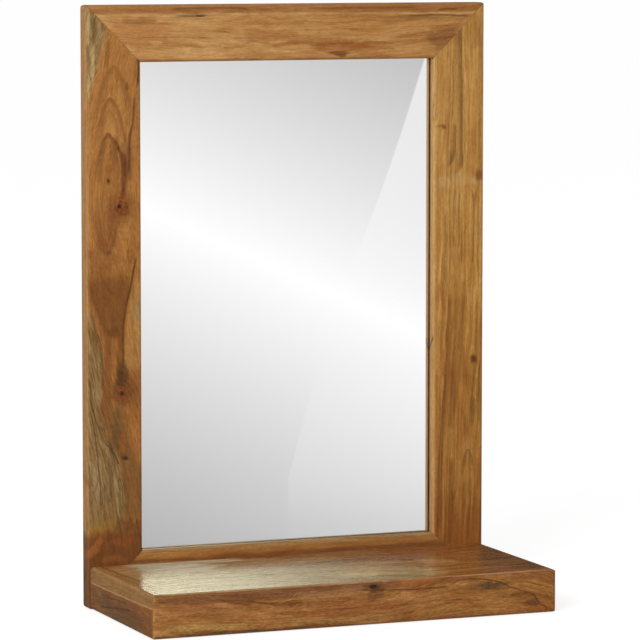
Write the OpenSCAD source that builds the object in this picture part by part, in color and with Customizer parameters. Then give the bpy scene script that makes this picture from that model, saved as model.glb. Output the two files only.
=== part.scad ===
// Wall mirror with a mitred solid-wood frame and a box shelf at its foot.
// X runs to the viewer's right, Y into the wall and Z up. The wall is the plane Y = 0.
// The origin lies on the wall, midway between the two keyholes that the mirror hangs by.

/* [Frame] */
// Width of the frame over its outer edges
frame_w = 500; // [400:5:700]
// Height of the frame over its outer edges
frame_h = 700; // [500:5:900]
// Thickness of the frame's boards, front to back
frame_t = 22; // [21:0.5:30]
// Width of the frame's boards
member_w = 66; // [60:1:90]
// Radius of the outer edges on the front
outer_round = 4; // [1:0.5:6]
// Radius of the edges round the glass on the front
inner_round = 3; // [1:0.5:5]
// Radius of the outer edges on the back
back_round = 1.5; // [0.5:0.5:3]
// Radius of the frame's four corners, seen from the front
corner_round = 4.5; // [1:0.5:8]

/* [Glass and its rebate] */
// Thickness of the wood in front of the glass
lip_t = 10; // [8:0.5:12]
// Width of the rebate that holds the glass
rebate_w = 10; // [8:0.5:14]
// Thickness of the glass
glass_t = 3; // [2:0.5:4]
// Thickness of the silvered and painted coat
coat_t = 0.2; // [0.1:0.1:0.5]
// Thickness of the backing board
backing_t = 3; // [2:0.5:4]
// Space left round the glass in its rebate
glass_gap = 0.8; // [0.3:0.1:1.5]
// Radius of the beads' edge on the back
bead_round = 2; // [0.5:0.5:3]

/* [Shelf] */
// Distance of the shelf's ends from the frame's outer edges
shelf_inset = 2; // [0:0.5:10]
// Distance that the shelf stands out from the frame
shelf_out = 213; // [120:1:260]
// Height of the shelf
shelf_h = 50; // [44:1:58]
// Thickness of the shelf's top, front and ends
shelf_t = 18; // [16:0.5:20]
// Thickness of the shelf's bottom board
bottom_t = 9; // [6:0.5:12]
// Width of the rebate that the bottom board lies in
bottom_lap = 9; // [6:0.5:12]
// Thickness of the back rail inside the shelf
back_rail_t = 20; // [18:0.5:28]
// Radius of the shelf's edges
shelf_round = 5; // [2:0.5:6]

/* [Hangers] */
// Depth of the keyholes below the frame's top
hanger_drop = 90; // [82:1:300]
// Length of a hanger plate
plate_l = 54; // [52:1:64]
// Distance of the plate's screws from its ends
plate_screw_inset = 7; // [6:0.5:8]
// Width of a hanger plate
plate_w = 18; // [16:0.5:24]
// Thickness of a hanger plate
plate_t = 2; // [1.5:0.1:3]
// Radius of the keyhole's round entry
entry_r = 5; // [4.5:0.1:5.5]
// Width of the keyhole's slot
slot_w = 5; // [4:0.1:6]
// Distance of the entry's centre below the middle of the plate
entry_drop = 6; // [5:0.5:7]
// Rise from the entry's centre to the end of the slot
slot_rise = 12; // [10:0.5:14]
// Depth of the pocket behind the keyhole, from the back of the frame
pocket_depth = 11; // [9:0.5:13]
// Width of the pocket behind the keyhole
pocket_w = 13; // [12:0.5:15]

/* [Biscuits and glue blocks] */
// Length of a frame biscuit
frame_biscuit_l = 54; // [44:1:58]
// Width of a frame biscuit
frame_biscuit_w = 22; // [18:1:24]
// Distance from a corner of the frame to the middle of its biscuit, along the mitre
frame_biscuit_place = 43; // [38:1:45]
// Length of a shelf biscuit
shelf_biscuit_l = 45; // [38:1:50]
// Width of a shelf biscuit
shelf_biscuit_w = 15; // [12:1:16]
// Distance of a shelf biscuit from the inner edge of its mitre
shelf_biscuit_place = 10; // [8:0.5:11]
// Distance of the outermost shelf biscuits from the ends of their joint
shelf_biscuit_inset = 60; // [40:1:65]
// Number of biscuits along the shelf's front
front_biscuits = 3; // [1:1:4]
// Number of biscuits along each end of the shelf
end_biscuits = 2; // [1:1:2]
// Thickness of the biscuits
biscuit_t = 4; // [3:0.5:4]
// How much of a biscuit's pointed ends is cut off
biscuit_tip = 2; // [1:0.5:3]
// Length of the glue blocks' legs
block_leg = 18; // [12:1:24]

/* [Screws, dowels and pins] */
// Number of screws from the frame into the shelf
shelf_screw_count = 4; // [3:1:5]
// Diameter of those screws
shelf_screw_d = 4.5; // [4:0.5:5]
// Length of those screws
shelf_screw_l = 38; // [34:1:39]
// Distance of the outermost of those screws inside the sight edge of the frame
fixing_inset = 2; // [0:1:30]
// Diameter of the dowels between frame and shelf
dowel_d = 8; // [6:1:10]
// Length of those dowels
dowel_l = 30; // [24:1:34]
// Depth of the dowels in the frame
dowel_in_frame = 14; // [10:1:16]
// Number of screws that hold the shelf's bottom board
bottom_screw_count = 4; // [3:1:6]
// Length of those screws
bottom_screw_l = 25; // [18:1:28]
// Distance of the outermost of those screws from the ends of the back rail
bottom_screw_inset = 22; // [16:1:40]
// Distance of those screws from the front of the back rail
bottom_screw_edge = 5; // [4.5:0.5:5.5]
// Length of the hanger screws
hanger_screw_l = 16; // [12:1:18]
// Diameter of the bottom board's and the hangers' screws
small_screw_d = 3.5; // [3:0.5:4]
// Length of a screw's point
screw_point_l = 4; // [3:0.5:6]
// Radius of a screw's tip
screw_tip_r = 0.3; // [0.2:0.1:0.5]
// Number of pins in each upright bead
upright_pins = 5; // [1:1:8]
// Number of pins in each level bead
level_pins = 4; // [1:1:6]
// Distance of the outermost pins from the sight edge of the frame
pin_inset = 60; // [30:1:80]
// Diameter of the bead pins
pin_d = 1.4; // [1.2:0.1:2]
// Length of the bead pins
pin_l = 20; // [16:1:25]
// Diameter of a pin's head
pin_head_d = 2.6; // [2.4:0.1:3]
// Thickness of a pin's head
pin_head_t = 1; // [0.6:0.1:1.4]

/* [Clearances] */
// Space round a fastener in its hole
fastener_gap = 0.1; // [0.05:0.05:0.3]
// Space round a biscuit in its slot
biscuit_gap = 0.3; // [0.1:0.1:0.5]
// Space round the bottom board and the hanger plates
panel_gap = 0.4; // [0.2:0.1:0.8]

/* [Hidden] */

$fn = 64;

// How far a cut runs past the face that it opens
over = 1;

honey_wood = [0.67, 0.45, 0.26];
brown_wood = [0.56, 0.36, 0.20];
red_wood = [0.58, 0.34, 0.19];
olive_wood = [0.60, 0.45, 0.27];
beech_wood = [0.82, 0.68, 0.50];
glass_tint = [0.80, 0.90, 0.88, 0.35];
silver_paint = [0.78, 0.79, 0.80];
hardboard = [0.42, 0.31, 0.22];
zinc = [0.72, 0.73, 0.75];

// Glass, coat, backing board and bead lie one behind the other, measured from the front
glass_front = lip_t;
coat_front = glass_front + glass_t;
backing_front = coat_front + coat_t;
bead_front = backing_front + backing_t;
bead_t = frame_t - bead_front;
bead_w = rebate_w;

// Sight size of the frame, and the size of the glass that fills its rebate
sight_w = frame_w - 2 * member_w;
sight_h = frame_h - 2 * member_w;
glass_w = sight_w + 2 * (rebate_w - glass_gap);
glass_h = sight_h + 2 * (rebate_w - glass_gap);

// The shelf follows the frame's width; the inside of its box is what its boards leave
shelf_w = frame_w - 2 * shelf_inset;
shelf_front_y = frame_t + shelf_out;
box_w = shelf_w - 2 * shelf_t;
box_floor = bottom_t;
box_ceiling = shelf_h - shelf_t;
back_rail_h = box_ceiling - box_floor;

// The fixings between frame and shelf run along the middle of the back rail. They keep
// inside the sight edges, clear of the biscuits at the frame's foot
fixing_z = box_floor + back_rail_h / 2;
fixing_span = sight_w - 2 * fixing_inset;
fixing_pitch = fixing_span / (shelf_screw_count - 1);
screw_places = spread(shelf_screw_count, fixing_span);
dowel_places = spread(shelf_screw_count - 1, fixing_span - fixing_pitch);

// The bottom board's screws run up into the back rail near its front, beside the frame's screws
bottom_screw_places = spread(bottom_screw_count, box_w - 2 * bottom_screw_inset);
bottom_screw_y = frame_t + back_rail_t - bottom_screw_edge;

// The keyholes stay the same depth below the frame's top, so the origin follows it
hanger_height = frame_h - hanger_drop;
hanger_x = frame_w / 2 - member_w / 2;
plate_middle = hanger_height + entry_drop;
plate_screw_z = plate_l / 2 - plate_screw_inset;

// The head of a countersunk screw is twice its diameter across
head_ratio = 2;

// Angle of every mitre
mitre = 45;

// n places, evenly spaced over a span that is centred on zero
function spread(n, span) =
    n == 1 ? [0] : [for (i = [0 : n - 1]) -span / 2 + i * span / (n - 1)];

// Lets every part hang from the wall, with the keyholes at the height of the origin
module hung() {
    translate([0, 0, -hanger_height]) children();
}

// Draws the same thing on the left and on the right
module both_sides() {
    children();
    mirror([1, 0, 0]) children();
}

// What a radius takes off a corner at the origin, in the first quadrant
module corner_cut(radius) {
    difference() {
        translate([-over, -over]) square(radius + over);
        translate([radius, radius]) circle(radius);
    }
}

// A 2-D shape stood upright: from y_back it runs towards the viewer by a thickness
module upright(y_back, thickness) {
    translate([0, y_back, 0]) rotate([90, 0, 0]) linear_extrude(thickness) children();
}

// A 2-D shape cut into the back of the frame
module into_back(depth) {
    upright(over, depth + over) children();
}

// The four places of a frame member. A member stands with its outer edge on the Z axis
module on_left() {
    translate([-frame_w / 2, 0, 0]) children();
}

module on_right() {
    mirror([1, 0, 0]) on_left() children();
}

module on_top() {
    translate([-frame_w / 2, 0, frame_h]) rotate([0, 90, 0]) children();
}

module on_bottom() {
    translate([-frame_w / 2, 0, 0]) mirror([0, 0, 1]) rotate([0, 90, 0]) children();
}

// Outline of a mitred member seen from the front, wider than the member on both edges
module mitre_outline(length, width, radius) {
    difference() {
        polygon([
            [-over, -over],
            [-over, length + over],
            [width + over, length - width - over],
            [width + over, width + over]
        ]);
        corner_cut(radius);
        translate([0, length]) mirror([0, 1]) corner_cut(radius);
    }
}

// Section of a frame member: outer edge at x = 0, front at y = -frame_t
module member_section() {
    translate([0, -frame_t]) difference() {
        square([member_w, frame_t]);
        corner_cut(outer_round);
        translate([member_w, 0]) mirror([1, 0]) corner_cut(inner_round);
        translate([0, frame_t]) mirror([0, 1]) corner_cut(back_round);
        translate([member_w - rebate_w, lip_t])
            square([rebate_w + over, frame_t - lip_t + over]);
    }
}

// Section of a bead: its edge towards the middle of the mirror is rounded
module bead_section() {
    translate([member_w - rebate_w, -bead_t]) difference() {
        square([bead_w, bead_t]);
        translate([bead_w, bead_t]) mirror([1, 0]) mirror([0, 1]) corner_cut(bead_round);
    }
}

// A board of the frame, mitred at both ends, before any joint is cut
module member(length) {
    intersection() {
        linear_extrude(length) member_section();
        upright(over, frame_t + 2 * over) mitre_outline(length, member_w, corner_round);
    }
}

// A bead along one side of the rebate
module bead(length) {
    intersection() {
        linear_extrude(length) bead_section();
        upright(over, frame_t + 2 * over) polygon([
            [0, 0],
            [0, length],
            [member_w + over, length - member_w - over],
            [member_w + over, member_w + over]
        ]);
    }
}

// A biscuit seen from its flat side, its length along x
module biscuit_outline(length, width, gap) {
    half_l = length / 2;
    half_w = width / 2;
    arc_r = (half_l * half_l + half_w * half_w) / width;
    intersection() {
        translate([0, half_w - arc_r]) circle(arc_r + gap, $fn = 128);
        translate([0, arc_r - half_w]) circle(arc_r + gap, $fn = 128);
        square([length - 2 * biscuit_tip + 2 * gap, width + 2 * over], center = true);
    }
}

// The biscuit across the mitre at the foot of an upright, grown by a gap for its slot
module frame_biscuit(gap) {
    upright(-frame_t / 2 + biscuit_t / 2 + gap, biscuit_t + 2 * gap)
        rotate(mitre) translate([frame_biscuit_place, 0])
        biscuit_outline(frame_biscuit_l, frame_biscuit_w, gap);
}

module frame_biscuit_at_foot(gap) {
    translate([-frame_w / 2, 0, 0]) frame_biscuit(gap);
}

module frame_biscuit_at_head(gap) {
    translate([0, 0, frame_h]) mirror([0, 0, 1]) frame_biscuit_at_foot(gap);
}

// All four slots or biscuits of the frame
module all_frame_biscuits(gap) {
    both_sides() {
        frame_biscuit_at_foot(gap);
        frame_biscuit_at_head(gap);
    }
}

// Countersunk screw, its head's face at the origin, pointing down
module wood_screw(d, length) {
    head_r = d * head_ratio / 2;
    head_h = head_r - d / 2;
    slot_t = d / 5;
    slot_l = d;
    slot_depth = d / 3;
    difference() {
        union() {
            translate([0, 0, -head_h]) cylinder(h = head_h, r1 = d / 2, r2 = head_r);
            translate([0, 0, screw_point_l - length])
                cylinder(h = length - screw_point_l - head_h, d = d);
            translate([0, 0, -length]) cylinder(h = screw_point_l, r1 = screw_tip_r, r2 = d / 2);
        }
        for (turn = [0, 90])
            rotate(turn)
            translate([-slot_l / 2, -slot_t / 2, -slot_depth]) cube([slot_l, slot_t, slot_depth + over]);
    }
}

// Hole for such a screw, its mouth at the origin
module screw_hole(d, length) {
    head_r = d * head_ratio / 2;
    head_h = head_r - d / 2;
    translate([0, 0, -head_h]) cylinder(h = head_h, r1 = d / 2 + fastener_gap, r2 = head_r + fastener_gap);
    translate([0, 0, -length - fastener_gap]) cylinder(h = length, d = d + 2 * fastener_gap);
    translate([0, 0, -fastener_gap]) cylinder(h = over, r = head_r + fastener_gap);
}

// Places of the screws from the back of the frame into the shelf
module at_shelf_screws() {
    for (x = screw_places)
        translate([x, 0, fixing_z]) rotate([-90, 0, 0]) children();
}

// Places of the dowels, their middle on the joint between frame and shelf
module at_dowels() {
    for (x = dowel_places)
        translate([x, dowel_in_frame - frame_t, fixing_z]) rotate([90, 0, 0]) children();
}

// Places of the screws through the shelf's bottom board
module at_bottom_screws() {
    for (x = bottom_screw_places)
        translate([x, -bottom_screw_y, 0]) rotate([180, 0, 0]) children();
}

// Left hanger's place: the middle of its plate, on the back of the left stile
module at_left_hanger() {
    translate([-hanger_x, 0, plate_middle]) children();
}

// A plate or pocket with round ends, its middle at the origin
module round_ended(length, width) {
    end = length / 2 - width / 2;
    translate([-width / 2, -end]) square([width, 2 * end]);
    for (side = [-1, 1])
        translate([0, side * end]) circle(width / 2);
}

// The keyhole in a hanger plate
module keyhole() {
    translate([0, -entry_drop]) circle(entry_r);
    translate([-slot_w / 2, -entry_drop]) square([slot_w, slot_rise]);
    translate([0, slot_rise - entry_drop]) circle(slot_w / 2);
}

// Everything that a hanger needs cut into the back of its stile
module hanger_pocket() {
    into_back(plate_t) round_ended(plate_l + 2 * panel_gap, plate_w + 2 * panel_gap);
    translate([0, 0, slot_rise / 2 - entry_drop])
        into_back(pocket_depth) round_ended(slot_rise + pocket_w, pocket_w);
    at_plate_screws() screw_hole(small_screw_d, hanger_screw_l);
}

// Places of the two screws in a hanger plate
module at_plate_screws() {
    for (side = [-1, 1])
        translate([0, 0, side * plate_screw_z]) rotate([-90, 0, 0]) children();
}

// Pins of one bead: they run from the bead's inner edge into the member
module pin_row(length, count, gap) {
    for (z = spread(count, length - 2 * member_w - 2 * pin_inset))
        translate([member_w - rebate_w + bead_w, -bead_t / 2, length / 2 + z])
        rotate([0, -90, 0]) {
            cylinder(h = pin_l + gap, d = pin_d + 2 * gap);
            cylinder(h = pin_head_t, d = pin_head_d + 2 * gap);
        }
}

module all_pins(gap) {
    on_left() pin_row(frame_h, upright_pins, gap);
    on_right() pin_row(frame_h, upright_pins, gap);
    on_top() pin_row(frame_w, level_pins, gap);
    on_bottom() pin_row(frame_w, level_pins, gap);
}

// ---- Frame ----

module stile() {
    difference() {
        on_left() member(frame_h);
        frame_biscuit_at_foot(biscuit_gap);
        frame_biscuit_at_head(biscuit_gap);
        on_left() pin_row(frame_h, upright_pins, fastener_gap);
        at_left_hanger() hanger_pocket();
    }
}

module left_stile() {
    color(brown_wood) hung() stile();
}

module right_stile() {
    color(honey_wood) hung() mirror([1, 0, 0]) stile();
}

module top_rail() {
    color(honey_wood) hung() difference() {
        on_top() member(frame_w);
        all_frame_biscuits(biscuit_gap);
        on_top() pin_row(frame_w, level_pins, fastener_gap);
    }
}

module bottom_rail() {
    color(brown_wood) hung() difference() {
        on_bottom() member(frame_w);
        all_frame_biscuits(biscuit_gap);
        on_bottom() pin_row(frame_w, level_pins, fastener_gap);
        at_shelf_screws() screw_hole(shelf_screw_d, shelf_screw_l);
        at_dowels() cylinder(h = dowel_l + fastener_gap, d = dowel_d + 2 * fastener_gap);
    }
}

module frame_biscuits() {
    color(beech_wood) hung() all_frame_biscuits(0);
}

// ---- Glass and what holds it ----

// A sheet in the rebate, given how far its front lies behind the front of the frame
module rebate_sheet(front, thickness) {
    translate([-glass_w / 2, front - frame_t, frame_h / 2 - glass_h / 2])
        cube([glass_w, thickness, glass_h]);
}

module mirror_glass() {
    color(glass_tint) hung() rebate_sheet(glass_front, glass_t);
}

module silver_coat() {
    color(silver_paint) hung() rebate_sheet(coat_front, coat_t);
}

module backing_board() {
    color(hardboard) hung() rebate_sheet(backing_front, backing_t);
}

module bead_left() {
    color(olive_wood) hung() difference() {
        on_left() bead(frame_h);
        on_left() pin_row(frame_h, upright_pins, fastener_gap);
    }
}

module bead_right() {
    color(olive_wood) hung() difference() {
        on_right() bead(frame_h);
        on_right() pin_row(frame_h, upright_pins, fastener_gap);
    }
}

module bead_top() {
    color(olive_wood) hung() difference() {
        on_top() bead(frame_w);
        on_top() pin_row(frame_w, level_pins, fastener_gap);
    }
}

module bead_bottom() {
    color(olive_wood) hung() difference() {
        on_bottom() bead(frame_w);
        on_bottom() pin_row(frame_w, level_pins, fastener_gap);
    }
}

module bead_pins() {
    color(zinc) hung() all_pins(0);
}

// ---- Shelf ----

// A 2-D shape drawn from the side, x out from the frame and y up, run along the shelf
module along_shelf() {
    length = shelf_w + 2 * over;
    translate([length / 2, -frame_t, 0]) rotate([90, 0, -90]) linear_extrude(length) children();
}

// A 2-D shape drawn from the front, run from the frame to the front of the shelf
module out_from_frame() {
    upright(over - frame_t, shelf_out + 2 * over) children();
}

// Side of the whole shelf, rounded at its front edges
module shelf_side() {
    difference() {
        square([shelf_out, shelf_h]);
        translate([shelf_out, 0]) mirror([1, 0]) corner_cut(shelf_round);
        translate([shelf_out, shelf_h]) mirror([1, 0]) mirror([0, 1]) corner_cut(shelf_round);
    }
}

// Front of the whole shelf, rounded at all four corners
module shelf_face() {
    difference() {
        translate([-shelf_w / 2, 0]) square([shelf_w, shelf_h]);
        for (side = [0, 1])
            mirror([side, 0]) translate([-shelf_w / 2, 0]) {
                corner_cut(shelf_round);
                translate([0, shelf_h]) mirror([0, 1]) corner_cut(shelf_round);
            }
    }
}

// The shelf seen from above, rounded at its front corners
module shelf_plan() {
    difference() {
        translate([-shelf_w / 2, -shelf_front_y]) square([shelf_w, shelf_out + over]);
        for (side = [0, 1])
            mirror([side, 0]) translate([-shelf_w / 2, -shelf_front_y]) corner_cut(shelf_round);
    }
}

// A board with three cuts: drawn from the side, from the front and from above
module three_way() {
    intersection() {
        along_shelf() children(0);
        out_from_frame() children(1);
        translate([0, 0, -over]) linear_extrude(shelf_h + 2 * over) children(2);
    }
}

// Side of the top board: mitred to the front board
module top_side() {
    intersection() {
        shelf_side();
        polygon([
            [0, box_ceiling],
            [shelf_out - shelf_t, box_ceiling],
            [shelf_out + over, shelf_h + over],
            [0, shelf_h + over]
        ]);
    }
}

// Face of the top board: mitred to both ends
module top_face() {
    intersection() {
        shelf_face();
        polygon([
            [-box_w / 2 + over, box_ceiling - over],
            [box_w / 2 - over, box_ceiling - over],
            [shelf_w / 2 + over, shelf_h + over],
            [-shelf_w / 2 - over, shelf_h + over]
        ]);
    }
}

// Side of the front board: mitred to the top and rebated for the bottom
module front_side() {
    intersection() {
        shelf_side();
        difference() {
            polygon([
                [shelf_out - shelf_t, -over],
                [shelf_out + over, -over],
                [shelf_out + over, shelf_h + over],
                [shelf_out - shelf_t, box_ceiling]
            ]);
            translate([shelf_out - shelf_t - over, -over])
                square([bottom_lap + over, bottom_t + over]);
        }
    }
}

// Plan of the front board: mitred to both ends
module front_plan() {
    intersection() {
        shelf_plan();
        polygon([
            [-shelf_w / 2 - over, -shelf_front_y - over],
            [shelf_w / 2 + over, -shelf_front_y - over],
            [box_w / 2 - over, -shelf_front_y + shelf_t + over],
            [-box_w / 2 + over, -shelf_front_y + shelf_t + over]
        ]);
    }
}

// Face of the left end: mitred to the top and rebated for the bottom
module end_face() {
    intersection() {
        shelf_face();
        difference() {
            polygon([
                [-shelf_w / 2 - over, -over],
                [-box_w / 2, -over],
                [-box_w / 2, box_ceiling],
                [-shelf_w / 2 - over, shelf_h + over]
            ]);
            translate([-box_w / 2 - bottom_lap, -over])
                square([bottom_lap + over, bottom_t + over]);
        }
    }
}

// Plan of the left end: mitred to the front board
module end_plan() {
    intersection() {
        shelf_plan();
        polygon([
            [-shelf_w / 2 - over, -shelf_front_y - over],
            [-box_w / 2 + over, -shelf_front_y + shelf_t + over],
            [-box_w / 2 + over, -frame_t],
            [-shelf_w / 2 - over, -frame_t]
        ]);
    }
}

// A biscuit across a mitre that runs down to the left from the Y axis, the joint's inner
// edge. The biscuit's length lies along Y
module shelf_biscuit(gap) {
    rotate([0, -mitre, 0])
        translate([-shelf_biscuit_place, 0, 0])
        rotate([0, 90, 0])
        translate([0, 0, -biscuit_t / 2 - gap])
        linear_extrude(biscuit_t + 2 * gap)
        rotate(90) biscuit_outline(shelf_biscuit_l, shelf_biscuit_w, gap);
}

// Biscuits between the left end and the top
module left_end_biscuits(gap) {
    for (y = spread(end_biscuits, shelf_out - shelf_t - 2 * shelf_biscuit_inset))
        translate([-box_w / 2, y - frame_t - (shelf_out - shelf_t) / 2, box_ceiling])
        mirror([0, 0, 1]) shelf_biscuit(gap);
}

// Biscuits between the front board and the top
module front_edge_biscuits(gap) {
    for (x = spread(front_biscuits, box_w - 2 * shelf_biscuit_inset))
        translate([x, -shelf_front_y + shelf_t, box_ceiling])
        rotate([0, 0, 90]) mirror([0, 0, 1]) shelf_biscuit(gap);
}

module all_shelf_biscuits(gap) {
    both_sides() left_end_biscuits(gap);
    front_edge_biscuits(gap);
}

module shelf_top() {
    color(olive_wood) hung() difference() {
        three_way() {
            top_side();
            top_face();
            shelf_plan();
        }
        all_shelf_biscuits(biscuit_gap);
    }
}

module shelf_front() {
    color(red_wood) hung() difference() {
        three_way() {
            front_side();
            shelf_face();
            front_plan();
        }
        front_edge_biscuits(biscuit_gap);
    }
}

module shelf_end() {
    difference() {
        three_way() {
            shelf_side();
            end_face();
            end_plan();
        }
        left_end_biscuits(biscuit_gap);
    }
}

module shelf_left_end() {
    color(brown_wood) hung() shelf_end();
}

module shelf_right_end() {
    color(red_wood) hung() mirror([1, 0, 0]) shelf_end();
}

// The bottom board lies in the rebates of the front and the ends
module shelf_bottom() {
    board_w = box_w + 2 * (bottom_lap - panel_gap);
    board_out = shelf_out - shelf_t + bottom_lap - panel_gap;
    color(brown_wood) hung() difference() {
        translate([-board_w / 2, -frame_t - board_out, 0]) cube([board_w, board_out, bottom_t]);
        at_bottom_screws() screw_hole(small_screw_d, bottom_screw_l);
    }
}

module shelf_back_rail() {
    color(honey_wood) hung() difference() {
        translate([-box_w / 2, -frame_t - back_rail_t, box_floor])
            cube([box_w, back_rail_t, back_rail_h]);
        at_shelf_screws() screw_hole(shelf_screw_d, shelf_screw_l);
        at_dowels() cylinder(h = dowel_l + fastener_gap, d = dowel_d + 2 * fastener_gap);
        at_bottom_screws() screw_hole(small_screw_d, bottom_screw_l);
    }
}

// Three-cornered blocks glued into the front corners of the box
module glue_blocks() {
    color(beech_wood) hung() both_sides()
        translate([-box_w / 2, -shelf_front_y + shelf_t, box_floor])
        linear_extrude(back_rail_h)
        polygon([[0, 0], [block_leg, 0], [0, block_leg]]);
}

module shelf_biscuits() {
    color(beech_wood) hung() all_shelf_biscuits(0);
}

module shelf_dowels() {
    color(beech_wood) hung() at_dowels() cylinder(h = dowel_l, d = dowel_d);
}

module shelf_screws() {
    color(zinc) hung() at_shelf_screws() wood_screw(shelf_screw_d, shelf_screw_l);
}

module bottom_screws() {
    color(zinc) hung() at_bottom_screws() wood_screw(small_screw_d, bottom_screw_l);
}

// ---- Hangers ----

// Plate with a keyhole, let in flush with the back of the frame
module hanger_plate() {
    at_left_hanger() difference() {
        upright(0, plate_t) difference() {
            round_ended(plate_l, plate_w);
            keyhole();
        }
        at_plate_screws() screw_hole(small_screw_d, hanger_screw_l);
    }
}

module hanger_plate_left() {
    color(zinc) hung() hanger_plate();
}

module hanger_plate_right() {
    color(zinc) hung() mirror([1, 0, 0]) hanger_plate();
}

module hanger_screws() {
    color(zinc) hung() both_sides()
        at_left_hanger() at_plate_screws() wood_screw(small_screw_d, hanger_screw_l);
}

left_stile();
right_stile();
top_rail();
bottom_rail();
frame_biscuits();
mirror_glass();
silver_coat();
backing_board();
bead_left();
bead_right();
bead_top();
bead_bottom();
bead_pins();
shelf_top();
shelf_front();
shelf_left_end();
shelf_right_end();
shelf_bottom();
shelf_back_rail();
glue_blocks();
shelf_biscuits();
shelf_dowels();
shelf_screws();
bottom_screws();
hanger_plate_left();
hanger_plate_right();
hanger_screws();
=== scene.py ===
"""Looks of the wall mirror with its shelf. Metres, in the frame of the CAD part; the front faces -Y.

Every piece keeps its CAD solid and gets a procedural material. Marks on the wood are in millimetres."""
import math

import bpy
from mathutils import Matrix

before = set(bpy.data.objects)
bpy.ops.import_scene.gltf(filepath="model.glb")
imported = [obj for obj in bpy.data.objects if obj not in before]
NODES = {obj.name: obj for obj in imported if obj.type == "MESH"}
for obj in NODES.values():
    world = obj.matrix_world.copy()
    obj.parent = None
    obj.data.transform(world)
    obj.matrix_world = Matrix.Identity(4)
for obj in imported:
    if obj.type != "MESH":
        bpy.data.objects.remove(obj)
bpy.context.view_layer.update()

SCENE = bpy.context.scene

# Camera, solved from the straight edges in the photograph, which is 640 pixels wide and high
IMAGE_SIDE = 640
CAMERA_AT = (-1.687132, -4.308790, 0.178578)
CAMERA_YAW = math.radians(21.687)
CAMERA_PITCH = math.radians(5.415)
FOCAL_PIXELS = 3936.4
CENTRE_PIXEL = (303.45, 300.58)
SENSOR_WIDTH = 36.0
CAMERA_REACH = 100.0

# Light. A strength of 1 is white
WHITE = 1.0
SOFT_LIGHT = 0.64
KEY_LIGHT_AT = (-2.9, -2.6, 1.3)
KEY_LIGHT_AIM = (0.0, 0.0, -0.3)
KEY_LIGHT_SIDE = 2.2
KEY_LIGHT_POWER = 95.0
FLOOR_HEIGHT = -0.61
FLOOR_SIDE = 400.0
FLOOR_PAINT = 0.5
FLOOR_GLOW = 0.67

# The slanting bands that the mirror shows, in pixels of the photograph
BAND_SLOPE = 0.447
BAND_START = 145.0
BAND_PEAK = 0.996
BAND_FALL = 0.00088
WEDGE_PEAK = 0.975
SCREEN_LEAST = 0.3
SCREEN_GAMMA = 2.2
SCREEN_LIGHT = 1.05

# The room that gloss shows elsewhere, and where the camera looks by way of the part's faces
ROOM_SLANT = (0.55, 0.25, -1.0)
ROOM_LIGHT = 0.8
ROOM_BANDS = 0.3
BY_SHELF = (0.364, 0.920, 0.140)
BY_LEFT_SIDES = (-0.367, 0.925, -0.094)
BY_SHELF_AND_MIRROR = (0.399, -0.907, 0.134)
DIM_LIGHT = 0.16
BEHIND_LIGHT = 0.04
WINDOW_LIGHT = 2.5

# Places on the part, in millimetres. Sides and ends are counted from the middle
FRAME_FRONT = -22.0
FRAME_SIDE = 250.0
FRAME_TOP = 90.0
FRAME_FOOT = -610.0
DIAGONAL = 0.7
SHELF_FRONT = -235.0
SIGHT_SIDE = 184.0
GLASS_SIDE = 193.2
GLASS_END = 293.2
GLASS_MIDDLE = -260.0
GLASS_BACK = -9.0
RIM_STARTS = 4.2
RIM_FULL = 0.7

# Wood: how far marks and rings wander, and the sizes of its fine grain
MARK_WANDER_ALONG = 10.0
MARK_WANDER_ACROSS = 4.5
RING_WANDER = 10.0
RING_RIPPLE = 3.6
MARK_BREAKS = 2.2
FIBRE_SIZE = (7, 0.9, 0.9)
GRIT_SIZE = (5.5, 1.7, 1.7)
SWIRL_SIZE = (16, 11, 11)
PORE_SIZE = (6.5, 0.45, 0.45)

# Waves of the screen pressed into the hardboard, per millimetre
SCREEN_WAVES = 2.6


def rgb(red, green, blue):
    """A colour given in the 0 to 255 steps of a picture, as the linear colour that shaders take."""
    linear = []
    for step in (red, green, blue):
        share = step / 255
        if share <= 0.04045:
            linear.append(share / 12.92)
        else:
            linear.append(((share + 0.055) / 1.055) ** 2.4)
    return (*linear, 1.0)


HONEY = rgb(188, 140, 78)
TAN = rgb(168, 119, 62)
BROWN = rgb(142, 92, 43)
UMBER = rgb(112, 70, 30)
DARK = rgb(78, 44, 16)
RUST = rgb(106, 56, 20)
RED = rgb(148, 82, 34)
ORANGE = rgb(182, 120, 56)
OLIVE = rgb(134, 100, 50)
GREY_GREEN = rgb(144, 120, 80)
SAPWOOD = rgb(178, 150, 106)
PALE = rgb(208, 168, 110)
BLACK = rgb(44, 26, 12)
RING_BROWN = rgb(120, 72, 34)
PALE_RING = rgb(124, 76, 38)
STREAK_BROWN = rgb(124, 74, 30)
SILVER = rgb(252, 252, 252)


class Field:
    """A value that varies over a surface. Arithmetic on it adds Math nodes to its material."""

    def __init__(self, tree, socket):
        self.tree = tree
        self.socket = socket

    def math(self, operation, *others):
        """The result of a Math node on this value and the others."""
        return Field(self.tree, add(self.tree, "Math", self, *others, operation=operation).outputs[0])

    def __add__(self, other):
        return self.math("ADD", other)

    def __sub__(self, other):
        return self.math("SUBTRACT", other)

    def __rsub__(self, other):
        return self.math("MULTIPLY_ADD", -1.0, other)

    def __mul__(self, other):
        return self.math("MULTIPLY", other)

    def __truediv__(self, other):
        return self.math("DIVIDE", other)

    def size(self):
        """The value without its sign."""
        return self.math("ABSOLUTE")


def feed(socket, value):
    """Links a field to a socket, or sets a plain value on it."""
    if isinstance(value, Field):
        value.tree.links.new(value.socket, socket)
    else:
        socket.default_value = value


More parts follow.
